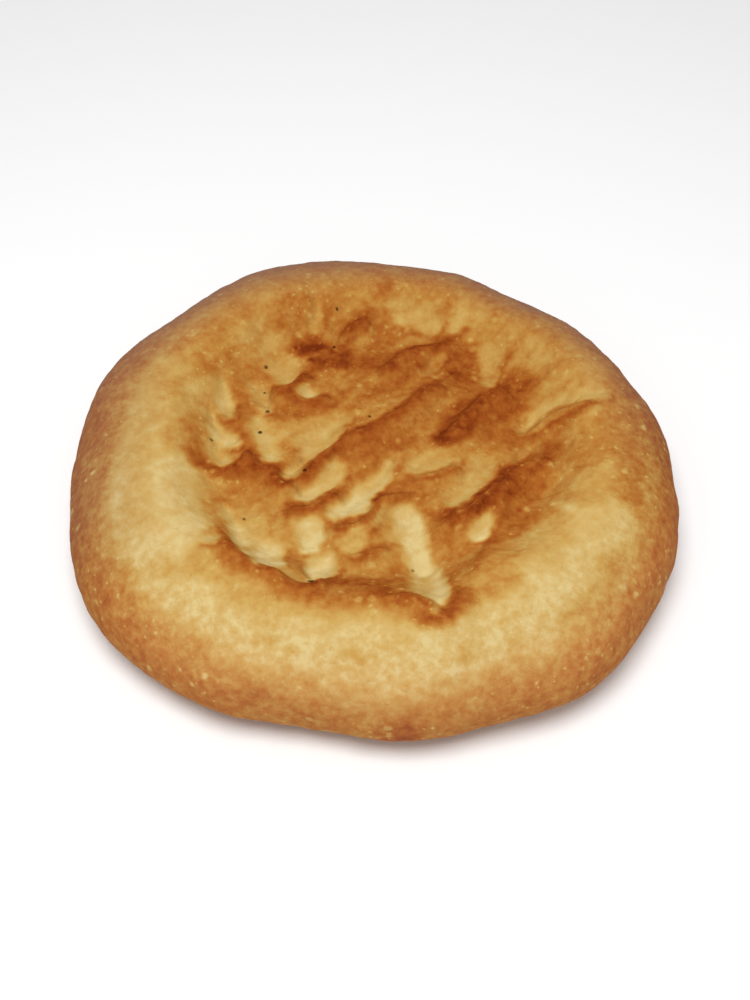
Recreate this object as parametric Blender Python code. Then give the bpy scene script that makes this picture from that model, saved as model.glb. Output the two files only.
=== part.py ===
"""A round flatbread: one closed crust with a puffed rim and a pressed, wrinkled middle.

Metres, +Z up. The bread lies on its flat underside, and the origin is under the middle of its outline.
The wrinkles run from lower left to upper right when it is seen from the -Y side.
"""

import math

import bmesh
import bpy
import numpy as np
from mathutils import Matrix, Vector

# The section of the loaf before it is pulled out of round
RADIUS = 0.119
RIM_HEIGHT = 0.046
WIDEST_HEIGHT = 0.018
UNDERSIDE_RADIUS = 0.099
CREST_RADIUS = 0.089
FOOT_RADIUS = 0.060
FLOOR_HEIGHT = 0.032
FLOOR_CROWN = 0.002

# How finely the section is cut into rings, and the rings into sides
SIDES = 116
UNDERSIDE_RINGS = 3
LOWER_BULGE_RINGS = 4
UPPER_BULGE_RINGS = 8
WALL_RINGS = 10
FLOOR_RINGS = 18
MERGE_DISTANCE = 0.00001

# Pulls are broad moves of the dough: a place, a move, and a reach over which the move fades out
OUTLINE_REACH = 0.052
OUTLINE_PULLS = (
    # clock angle in degrees counter-clockwise from +X, and how far the side stands out of round
    (0, -0.002),
    (27, -0.008),
    (54, -0.008),
    (80, -0.008),
    (108, 0.001),
    (135, -0.001),
    (162, 0.004),
    (190, 0.003),
    (213, 0.007),
    (236, 0.004),
    (258, -0.003),
    (283, 0.001),
    (310, 0.006),
    (337, 0.003),
)
BROAD_PULLS = (
    # place, move, reach
    ((0.000, -0.084, 0.046), (0.000, 0.005, 0.001), 0.034),
    ((-0.040, -0.074, 0.046), (0.004, 0.004, 0.001), 0.034),
    ((0.045, -0.074, 0.046), (-0.003, 0.004, 0.001), 0.034),
    ((-0.086, 0.000, 0.046), (0.006, 0.000, 0.000), 0.036),
    ((0.055, 0.080, 0.044), (0.000, 0.000, -0.007), 0.060),
    ((-0.010, 0.095, 0.044), (0.000, 0.000, -0.005), 0.050),
)

# Places where the dish's floor is pulled up towards its walls
DISH_PULLS = (
    # place, move, reach
    ((0.042, -0.042, 0.032), (0.000, 0.000, 0.005), 0.036),
    ((-0.006, -0.050, 0.032), (0.000, 0.000, 0.005), 0.034),
    ((-0.038, -0.046, 0.032), (0.000, 0.000, 0.004), 0.030),
    ((-0.050, 0.006, 0.032), (0.000, 0.000, 0.0035), 0.030),
)

# Seen from the near side at this slant, a point raised by 1 shows where a level one does that is this much
# farther off. Folds and hollows are placed where they would show if the dish's floor were this high and level.
SLANT = 0.84
DRAWN_FLOOR = 0.029

# Folds are raised wrinkles, with a steep face on the far side of the crest and a long slope on its near
# side. A crest runs from left to right through its points.
FAR_FACE = 0.0055
FOLD_TAPER = 0.25
FOLDS = (
    # height, near slope, crest
    (0.0050, 0.012, ((-0.033, -0.017), (-0.019, -0.004), (-0.006, 0.007), (0.009, 0.018), (0.022, 0.031),
                     (0.034, 0.042))),
    (0.0035, 0.008, ((-0.034, -0.031), (-0.024, -0.028), (-0.010, -0.019))),
    (0.0028, 0.007, ((-0.018, -0.039), (-0.007, -0.036), (0.003, -0.026), (0.018, -0.021))),
    (0.0060, 0.016, ((0.020, -0.035), (0.035, -0.032), (0.048, -0.019), (0.061, -0.007), (0.070, -0.001))),
    (0.0025, 0.011, ((0.056, 0.006), (0.067, 0.014), (0.082, 0.012), (0.090, 0.010))),
    (0.0045, 0.014, ((0.024, 0.000), (0.034, 0.014), (0.046, 0.029), (0.061, 0.037))),
    (0.0040, 0.014, ((0.003, 0.037), (0.009, 0.049), (0.022, 0.060), (0.040, 0.060))),
    (0.0040, 0.009, ((-0.042, 0.034), (-0.033, 0.035), (-0.027, 0.044))),
    (0.0032, 0.007, ((-0.063, -0.007), (-0.056, -0.009), (-0.048, 0.002))),
    (0.0040, 0.008, ((-0.046, -0.001), (-0.037, -0.010), (-0.028, -0.014))),
    (0.0030, 0.012, ((-0.058, -0.041), (-0.050, -0.056), (-0.035, -0.070), (-0.025, -0.076), (-0.010, -0.062))),
    (0.0025, 0.010, ((0.000, -0.079), (0.013, -0.081), (0.026, -0.087), (0.030, -0.072))),
    (0.0016, 0.009, ((0.037, -0.072), (0.044, -0.047), (0.053, -0.024))),
    (0.0030, 0.010, ((-0.014, 0.059), (-0.006, 0.070), (0.002, 0.071))),
)

# Hollows are pressed pockets between the folds
HOLLOWS = (
    # depth, half width, middle line
    (0.0030, 0.006, ((-0.061, 0.035), (-0.058, 0.026))),
    (0.0030, 0.006, ((-0.063, 0.018), (-0.057, 0.010))),
    (0.0030, 0.006, ((-0.061, 0.005), (-0.058, 0.000))),
    (0.0025, 0.005, ((-0.049, 0.039), (-0.043, 0.028))),
    (0.0025, 0.009, ((-0.045, 0.059), (-0.035, 0.042))),
    (0.0025, 0.006, ((-0.026, 0.037), (-0.024, 0.034))),
    (0.0025, 0.008, ((-0.044, 0.019), (-0.039, 0.003))),
    (0.0025, 0.008, ((-0.013, 0.019), (-0.026, -0.002))),
    (0.0030, 0.006, ((-0.024, -0.018), (-0.013, -0.005))),
    (0.0030, 0.007, ((-0.013, -0.028), (0.006, -0.007))),
    (0.0030, 0.005, ((-0.024, -0.032), (-0.023, -0.041))),
    (0.0020, 0.008, ((-0.046, -0.029), (-0.042, -0.052))),
    (0.0025, 0.005, ((-0.055, -0.029), (-0.049, -0.045))),
    (0.0035, 0.007, ((-0.038, -0.044), (-0.037, -0.057))),
    (0.0040, 0.007, ((-0.017, -0.048), (-0.019, -0.062))),
    (0.0030, 0.008, ((0.018, -0.058), (0.020, -0.073))),
    (0.0025, 0.007, ((0.013, -0.028), (0.017, -0.054))),
    (0.0030, 0.006, ((0.043, -0.029), (0.040, -0.036))),
    (0.0025, 0.007, ((0.045, -0.005), (0.032, -0.022))),
    (0.0020, 0.007, ((0.029, -0.001), (0.018, -0.006))),
    (0.0025, 0.004, ((0.063, 0.006), (0.058, -0.002))),
    (0.0020, 0.007, ((0.062, 0.015), (0.086, 0.020))),
    (0.0020, 0.006, ((0.022, 0.046), (0.027, 0.056))),
    (0.0020, 0.004, ((-0.024, 0.078), (-0.025, 0.069))),
)

CRUST_COLOUR = (0.60, 0.33, 0.11, 1.0)
CRUST_ROUGHNESS = 0.55


def clear_scene():
    for old in list(bpy.data.objects):
        bpy.data.objects.remove(old)


def smooth(amount):
    """A soft step: 0 below 0, 1 above 1, and a smooth rise between."""
    amount = np.clip(amount, 0.0, 1.0)
    return amount * amount * (3.0 - 2.0 * amount)


def steps(count):
    """Evenly spaced shares of a stretch, from just past its start to its end."""
    return [(i + 1) / count for i in range(count)]


def section():
    """The half section as (radius, height) points, from under the middle round to the middle of the dish."""
    points = [(0.0, 0.0)]
    for share in steps(UNDERSIDE_RINGS):
        points.append((UNDERSIDE_RADIUS * share, 0.0))
    for share in steps(LOWER_BULGE_RINGS):
        turn = share * math.pi / 2
        out = (RADIUS - UNDERSIDE_RADIUS) * math.sin(turn)
        points.append((UNDERSIDE_RADIUS + out, WIDEST_HEIGHT * (1 - math.cos(turn))))
    for share in steps(UPPER_BULGE_RINGS):
        turn = share * math.pi / 2
        back = (RADIUS - CREST_RADIUS) * (1 - math.cos(turn))
        rise = (RIM_HEIGHT - WIDEST_HEIGHT) * math.sin(turn)
        points.append((RADIUS - back, WIDEST_HEIGHT + rise))
    for share in steps(WALL_RINGS):
        radius = CREST_RADIUS + (FOOT_RADIUS - CREST_RADIUS) * share
        drop = (RIM_HEIGHT - FLOOR_HEIGHT) * float(smooth(share))
        points.append((radius, RIM_HEIGHT - drop))
    for share in steps(FLOOR_RINGS):
        radius = FOOT_RADIUS * (1 - share)
        points.append((radius, FLOOR_HEIGHT + FLOOR_CROWN * float(smooth(share))))
    return points


def turned_loaf():
    """The section spun once round the Z axis, as one closed mesh."""
    shape = bmesh.new()
    verts = [shape.verts.new((radius, 0.0, height)) for radius, height in section()]
    edges = [shape.edges.new(pair) for pair in zip(verts, verts[1:])]
    bmesh.ops.spin(
        shape,
        geom=verts + edges,
        cent=(0.0, 0.0, 0.0),
        axis=(0.0, 0.0, 1.0),
        angle=2 * math.pi,
        steps=SIDES,
        use_merge=True,
    )
    bmesh.ops.remove_doubles(shape, verts=shape.verts, dist=MERGE_DISTANCE)
    bmesh.ops.recalc_face_normals(shape, faces=shape.faces)
    return shape


def pull(points, place, move, reach):
    """Moves the points near a place, by less the further they are, as far as the reach."""
    distance = np.linalg.norm(points - np.array(place), axis=1)
    points += np.outer(smooth(1 - distance / reach), move)


def pull_out_of_round(points):
    for angle, stand_out in OUTLINE_PULLS:
        turn = math.radians(angle)
        outward = np.array((math.cos(turn), math.sin(turn), 0.0))
        place = outward * RADIUS + np.array((0.0, 0.0, WIDEST_HEIGHT))
        pull(points, place, outward * stand_out, OUTLINE_REACH)
    for place, move, reach in BROAD_PULLS:
        pull(points, place, move, reach)


def nearest_on_line(places, line):
    """For each place, its nearest place on the line: the share of the way along, the distance, and the side.

    The side is negative for a place to the left of the line and positive for one to its right.
    """
    line = np.array(line)
    spans = np.diff(line, axis=0)
    lengths = np.linalg.norm(spans, axis=1)
    offset = places[:, None, :] - line[:-1]
    share = np.clip((offset * spans).sum(axis=2) / lengths**2, 0, 1)
    apart = offset - share[:, :, None] * spans
    distance = np.linalg.norm(apart, axis=2)
    side = apart[:, :, 0] * spans[:, 1] - apart[:, :, 1] * spans[:, 0]
    along = (np.cumsum(lengths) - lengths + share * lengths) / lengths.sum()
    best = (np.arange(len(places)), distance.argmin(axis=1))
    return along[best], distance[best], side[best]


def fold_weight(places, near_slope, crest):
    """1 on the crest of a fold, falling to 0 over its far face, its near slope and its two ends."""
    along, distance, side = nearest_on_line(places, crest)
    ends = smooth(along / FOLD_TAPER) * smooth((1 - along) / FOLD_TAPER)
    width = np.where(side < 0, FAR_FACE, near_slope)
    return ends * smooth(1 - distance / width)


def hollow_weight(places, half_width, middle_line):
    """1 on the bottom line of a hollow, falling to 0 at its half width all round."""
    _, distance, _ = nearest_on_line(places, middle_line)
    return smooth(1 - distance / half_width)


def wrinkle(points, places):
    """Raises the folds and presses the hollows in the top crust, and leaves the underside flat.

    The places say where each point shows in the plan that the folds and hollows are drawn on.
    """
    top = points[:, 2] > FLOOR_HEIGHT / 2
    for height, near_slope, crest in FOLDS:
        points[:, 2] += top * height * fold_weight(places, near_slope, crest)
    for depth, half_width, middle_line in HOLLOWS:
        points[:, 2] -= top * depth * hollow_weight(places, half_width, middle_line)


def shaped_loaf():
    shape = turned_loaf()
    points = np.array([vert.co for vert in shape.verts])
    underside = points[:, 2] < MERGE_DISTANCE
    inward = CREST_RADIUS - np.hypot(points[:, 0], points[:, 1])
    lower = (FLOOR_HEIGHT - DRAWN_FLOOR) * smooth(inward / (CREST_RADIUS - FOOT_RADIUS))
    pull_out_of_round(points)
    drawn_height = points[:, 2] - lower
    for place, move, reach in DISH_PULLS:
        pull(points, place, move, reach)
    places = points[:, :2].copy()
    places[:, 1] += SLANT * (points[:, 2] - drawn_height)
    wrinkle(points, places)
    points[underside, 2] = 0.0
    middle = (points[:, :2].max(axis=0) + points[:, :2].min(axis=0)) / 2
    points[:, :2] -= middle
    for vert, point in zip(shape.verts, points):
        vert.co = Vector(point)
    bmesh.ops.triangulate(shape, faces=shape.faces)
    return shape


def crust_material():
    material = bpy.data.materials.new("crust")
    material.use_nodes = True
    surface = material.node_tree.nodes["Principled BSDF"]
    surface.inputs["Base Color"].default_value = CRUST_COLOUR
    surface.inputs["Roughness"].default_value = CRUST_ROUGHNESS
    surface.inputs["Metallic"].default_value = 0.0
    return material


def make_flatbread():
    shape = shaped_loaf()
    mesh = bpy.data.meshes.new("flatbread")
    shape.to_mesh(mesh)
    shape.free()
    mesh.materials.append(crust_material())
    mesh.shade_smooth()
    bread = bpy.data.objects.new("flatbread", mesh)
    bread.matrix_world = Matrix.Identity(4)
    bpy.context.scene.collection.objects.link(bread)
    return bread


clear_scene()
make_flatbread()
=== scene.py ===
"""The looks of a round flatbread with a puffed rim and a pressed, wrinkled middle.

Metres, +Z up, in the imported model's frame; the places and sizes in the tables are millimetres.
The camera looks from the -Y side, and the wrinkles run from its lower left to its upper right.
"""

import math

import bpy
import numpy as np
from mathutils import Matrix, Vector, noise


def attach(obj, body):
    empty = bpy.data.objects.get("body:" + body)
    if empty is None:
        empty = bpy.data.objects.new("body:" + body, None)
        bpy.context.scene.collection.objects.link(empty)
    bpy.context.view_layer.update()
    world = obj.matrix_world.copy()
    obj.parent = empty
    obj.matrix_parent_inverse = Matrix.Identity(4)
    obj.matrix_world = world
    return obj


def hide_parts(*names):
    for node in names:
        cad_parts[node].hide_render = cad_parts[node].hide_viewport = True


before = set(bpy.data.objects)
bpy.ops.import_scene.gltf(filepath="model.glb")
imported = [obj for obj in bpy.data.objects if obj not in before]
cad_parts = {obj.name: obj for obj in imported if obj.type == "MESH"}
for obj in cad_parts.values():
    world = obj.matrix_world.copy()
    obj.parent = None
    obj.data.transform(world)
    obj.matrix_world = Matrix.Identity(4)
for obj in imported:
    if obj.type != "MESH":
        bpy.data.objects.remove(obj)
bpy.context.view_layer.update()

MM = 0.001

# The half section of the loaf before it is pulled out of round
RADIUS = 119.0
RIM_HEIGHT = 46.0
WIDEST_HEIGHT = 18.0
UNDERSIDE_RADIUS = 99.0
CREST_RADIUS = 89.0
FOOT_RADIUS = 60.0
FLOOR_HEIGHT = 32.0
FLOOR_CROWN = 2.0
MIDDLE_HEIGHT = FLOOR_HEIGHT / 2

# How finely the crust is cut: the dish, where the wrinkles are, is the finest
SIDES = 520
UNDERSIDE_RINGS = 14
LOWER_BULGE_RINGS = 13
UPPER_BULGE_RINGS = 27
WALL_RINGS = 42
FLOOR_RINGS = 78
MERGE_DISTANCE = 0.00001

# How the round loaf is pulled out of round
OUTLINE_REACH = 52.0
OUTLINE_PULLS = (
    # angle in degrees counter-clockwise from +X, and how far the side stands out of round
    (0, -2.0),
    (27, -8.0),
    (54, -8.0),
    (80, -8.0),
    (108, 1.0),
    (135, -1.0),
    (162, 4.0),
    (190, 3.0),
    (213, 7.0),
    (236, 4.0),
    (258, -3.0),
    (283, 1.0),
    (310, 6.0),
    (337, 3.0),
)
BROAD_PULLS = (
    # place, move, reach
    ((0, -84, 46), (0, 5, 1), 34),
    ((-40, -74, 46), (4, 4, 1), 34),
    ((45, -74, 46), (-3, 4, 1), 34),
    ((-86, 0, 46), (6, 0, 0), 36),
    ((55, 80, 44), (0, 0, -7), 60),
    ((-10, 95, 44), (0, 0, -5), 50),
)

# Places where the dish's floor is pulled up towards its walls: place, move, reach
DISH_PULLS = (
    ((42, -42, 32), (0, 0, 5), 36),
    ((-6, -50, 32), (0, 0, 5), 34),
    ((-38, -46, 32), (0, 0, 4), 30),
    ((-50, 6, 32), (0, 0, 3.5), 30),
)

# Seen at this slant, a point raised by 1 mm shows where a level one does that is SLANT mm farther off.
# The tables below place each stroke where it would show if the crust were level and the dish's floor
# were DRAWN_FLOOR high.
SLANT = 0.84
DRAWN_FLOOR = 29.0

# Folds: height, far face, near slope, browning, and the crest from left to right. Each crest is sharp
# on its far side and slopes away on its near side.
FOLDS = (
    (5.0, 3.4, 12, 0.76, ((-33, -13), (-28, -10), (-24, -6), (-19, 0), (-13, 6), (-6, 11), (2, 16), (9, 22),
                          (16, 29), (22, 35), (28, 40.5), (34, 46.5))),
    (3.5, 3.0, 8, 0.72, ((-34, -28), (-29, -26.5), (-24, -25.5), (-19, -23), (-14, -19), (-10, -16))),
    (2.8, 3.0, 7, 0.68, ((-18, -37), (-12, -35.5), (-7, -33.5), (-2, -29.5), (3, -23.5), (10, -20),
                         (18, -19))),
    (2.0, 2.6, 6, 0.60, ((-10, -48.5), (-4, -48), (1, -46), (7, -44))),
    (6.0, 3.4, 16, 0.88, ((20, -30), (28, -29.5), (35, -26.5), (42, -20), (48, -14), (55, -8.5), (61, -2),
                          (65, 2.5), (70, 4))),
    (2.5, 3.4, 11, 0.74, ((56, 8.5), (61, 12.5), (67, 16), (74, 16.5), (82, 14.5), (90, 12))),
    (4.5, 3.8, 14, 0.80, ((24, 4), (29, 11), (34, 18), (40, 26), (46, 33), (53, 38), (61, 41))),
    (4.0, 4.4, 14, 0.74, ((3, 40), (5, 46), (9, 52), (15, 58), (22, 63), (32, 64), (40, 63))),
    (4.0, 3.0, 9, 0.84, ((-42, 37), (-37, 36), (-33, 38), (-30, 42), (-27, 47))),
    (1.8, 2.6, 5, 0.74, ((-31, 30), (-26, 28.5), (-21, 29.5), (-18, 33))),
    (3.2, 3.0, 7, 0.72, ((-63, -4), (-60, -7), (-56, -6.5), (-51, -2), (-48, 5))),
    (4.0, 3.0, 8, 0.82, ((-46, 2), (-44, -4), (-40, -6), (-37, -7), (-36, -11), (-33, -14), (-28, -11))),
    (1.5, 2.4, 4, 0.48, ((-64, 19), (-60, 19.5), (-55, 19), (-52, 24))),
    (3.0, 4.2, 12, 0.66, ((-58, -38), (-54, -46), (-50, -54), (-45, -60), (-41, -66), (-35, -68), (-30, -72),
                          (-25, -74), (-20, -72), (-18, -66), (-15, -61), (-10, -59))),
    (2.5, 4.2, 10, 0.72, ((0, -77), (6, -79), (13, -78.5), (18, -80.5), (21, -85), (26, -85.5), (30, -80),
                          (30, -70))),
    (1.6, 5.0, 9, 0.52, ((37, -70), (38, -60), (41, -50), (44, -45), (46, -38), (49, -30), (53, -22))),
    (2.0, 2.6, 7, 0.58, ((14, -13), (20, -12), (28, -9), (34, -5))),
    (3.0, 3.4, 10, 0.62, ((-14, 62), (-12, 68), (-6, 73), (2, 74))),
)
# The share of a crest that each of its ends takes to fade, and how strongly and how widely against its
# relief a fold is browned
FOLD_TAPER = 0.22
FOLD_STRENGTH = 0.88
SHADE_REACH = 0.75

# The dark line along the crest of a fold, browning of the crest and painted shade in the crease on its far
# face, which is at full strength on a fold of the full height
CREASE_WIDTH = 1.7
CREASE_BROWN_AND_SHADE = 0.88
CREASE_STRENGTH = 0.55
CREASE_FULL_HEIGHT = 4.0
CREASE_REACH = 1.4

# Pockets: depth, browning, and the middle line as (x, y, half width). The three with a negative depth
# are pale spots that stand a little proud.
POCKETS = (
    (3.0, 0.13, ((-61, 33, 2.5), (-60, 28, 3.8), (-58, 23, 4.2))),
    (3.0, 0.12, ((-64, 17, 2.5), (-62, 12, 4.2), (-58, 8, 4.6), (-55, 6.5, 3))),
    (3.0, 0.20, ((-61, 3, 3), (-59.5, -1, 4), (-58, -3, 3.5))),
    (2.5, 0.25, ((-50, 38, 2.5), (-46, 34, 3.8), (-44, 28, 3.6), (-43, 25, 2.5))),
    (2.5, 0.25, ((-46, 58, 5), (-41, 54, 6), (-37, 48, 6), (-35, 42, 5), (-35.5, 39, 3))),
    (2.5, 0.10, ((-26.5, 34, 3.6), (-25, 32, 3.8))),
    (2.5, 0.18, ((-45, 18, 3.5), (-43, 11, 4.5), (-39, 3, 5.5), (-38.5, 0, 4.5))),
    (1.0, 0.30, ((-36, 13, 6), (-28, 11, 8), (-18, 14, 7))),
    (2.5, 0.22, ((-12, 18, 4), (-17, 12, 5.5), (-21, 6, 6), (-24, 0, 4), (-25.5, -3, 2.4))),
    (0.3, 0.38, ((-34, -2, 2.5), (-33, 3, 2.5))),
    (2.5, 0.20, ((-26, -5, 2), (-29, -8, 2.4), (-31.5, -10.5, 2.6))),
    (3.0, 0.15, ((-25, -21, 4.4), (-20, -18, 4.4), (-15, -12, 4), (-13, -7, 3))),
    (3.0, 0.11, ((-14, -29.5, 3.5), (-8, -26.5, 4.5), (-3, -20, 4.8), (3, -14, 4), (7, -7.5, 2.6))),
    (3.0, 0.02, ((-24, -34, 4), (-23, -39, 4.4), (-22.5, -44, 3.6))),
    (2.0, 0.24, ((-46, -30, 5), (-45, -38, 6), (-44, -46, 6), (-42, -54, 5))),
    (2.5, 0.12, ((-54.5, -30, 2.5), (-51.5, -36, 3), (-48.5, -44, 3.5), (-47.5, -48, 3))),
    (3.5, 0.03, ((-38, -46, 4.5), (-37.5, -54, 5.4), (-37, -61, 5))),
    (0.8, 0.30, ((-32, -65, 3), (-28, -68, 4), (-25, -70, 3))),
    (4.0, 0.01, ((-17, -51, 4.4), (-17.5, -55, 5.2), (-20.5, -61, 3.5), (-21, -67, 2.8))),
    (1.5, 0.26, ((-6, -37, 4), (-6.5, -44, 4))),
    (1.0, 0.30, ((3, -30, 5), (8, -32, 5), (8, -38, 5))),
    (3.0, 0.17, ((19, -60, 6), (20, -68, 6.5), (21, -75, 5.5))),
    (2.5, 0.02, ((13, -31, 5), (14.5, -38, 5), (16.5, -47, 4.6), (19, -56, 4.6))),
    (1.0, 0.06, ((24, -54, 2), (24.5, -64, 2), (24, -74, 2.2), (22, -82, 2.4))),
    (3.0, 0.06, ((43.5, -31, 2.8), (41.5, -35, 3.8), (39.5, -38.5, 4))),
    (2.5, 0.25, ((45.5, -6, 4), (41.5, -11.5, 5), (36, -18, 4.5), (31, -24.5, 3.4))),
    (2.0, 0.24, ((30, -2, 4.5), (24, -5, 5.5), (17, -8, 4))),
    (0.5, 0.36, ((38, 1, 6), (42, -4, 5))),
    (2.5, 0.30, ((64, 4, 3), (61, 0, 3), (58, -4, 2.5))),
    (2.0, 0.22, ((60, 13, 3), (66, 18, 4), (76, 20, 5.5), (88, 18, 4))),
    (2.0, 0.44, ((22, 45, 2), (25, 50, 2.6), (28, 56, 2.6))),
    (1.0, 0.32, ((47, 66, 4), (50, 58, 5), (50, 48, 4), (47, 41, 3))),
    (1.2, 0.27, ((12, 76, 5), (20, 75, 5), (26, 71, 3))),
    (1.0, 0.30, ((35, 70, 3), (41, 75, 5), (47, 71, 3))),
    (2.0, 0.32, ((-24, 77, 2), (-24, 72, 2.4), (-25, 68, 2.4))),
    (1.5, 0.48, ((-16, 68, 2), (-15, 64, 2.2))),
    (1.5, 0.20, ((-57, -49, 3), (-58, -52, 3))),
    (-0.5, 0.10, ((71, -33, 1.8), (73, -38, 2))),
    (-1.0, 0.24, ((-86, 38, 3.4), (-82, 36, 3.4))),
    (-0.5, 0.24, ((80, 9.5, 1.1), (86, 9, 1.6))),
)

# A pocket's hollow spreads past its pale floor, and POCKET_PRESS of its depth is pressed in
POCKET_SPREAD = 1.6
POCKET_PRESS = 0.75

# A pocket's pale floor has a crisp edge towards the near side and a soft one towards the far side, and
# is darker at its far end than at its near one, by the amount below: a painted highlight at its near end
# that fades to painted shade
POCKET_STRENGTH = 0.96
CRISP_EDGE = 2.8
SOFT_EDGE = 7.5
CRISP_SIDE = (0.5, -0.87)
FAR_END_SHADE = 0.12
FAR_MIDDLE = 0.45

# The brown lip along a pocket's near edge: browning of the fold beside it, and a painted shadow line
LIP_WIDTH = 1.8
LIP_BROWN_AND_SHADE = 0.84
LIP_STRENGTH = 0.4

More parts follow.
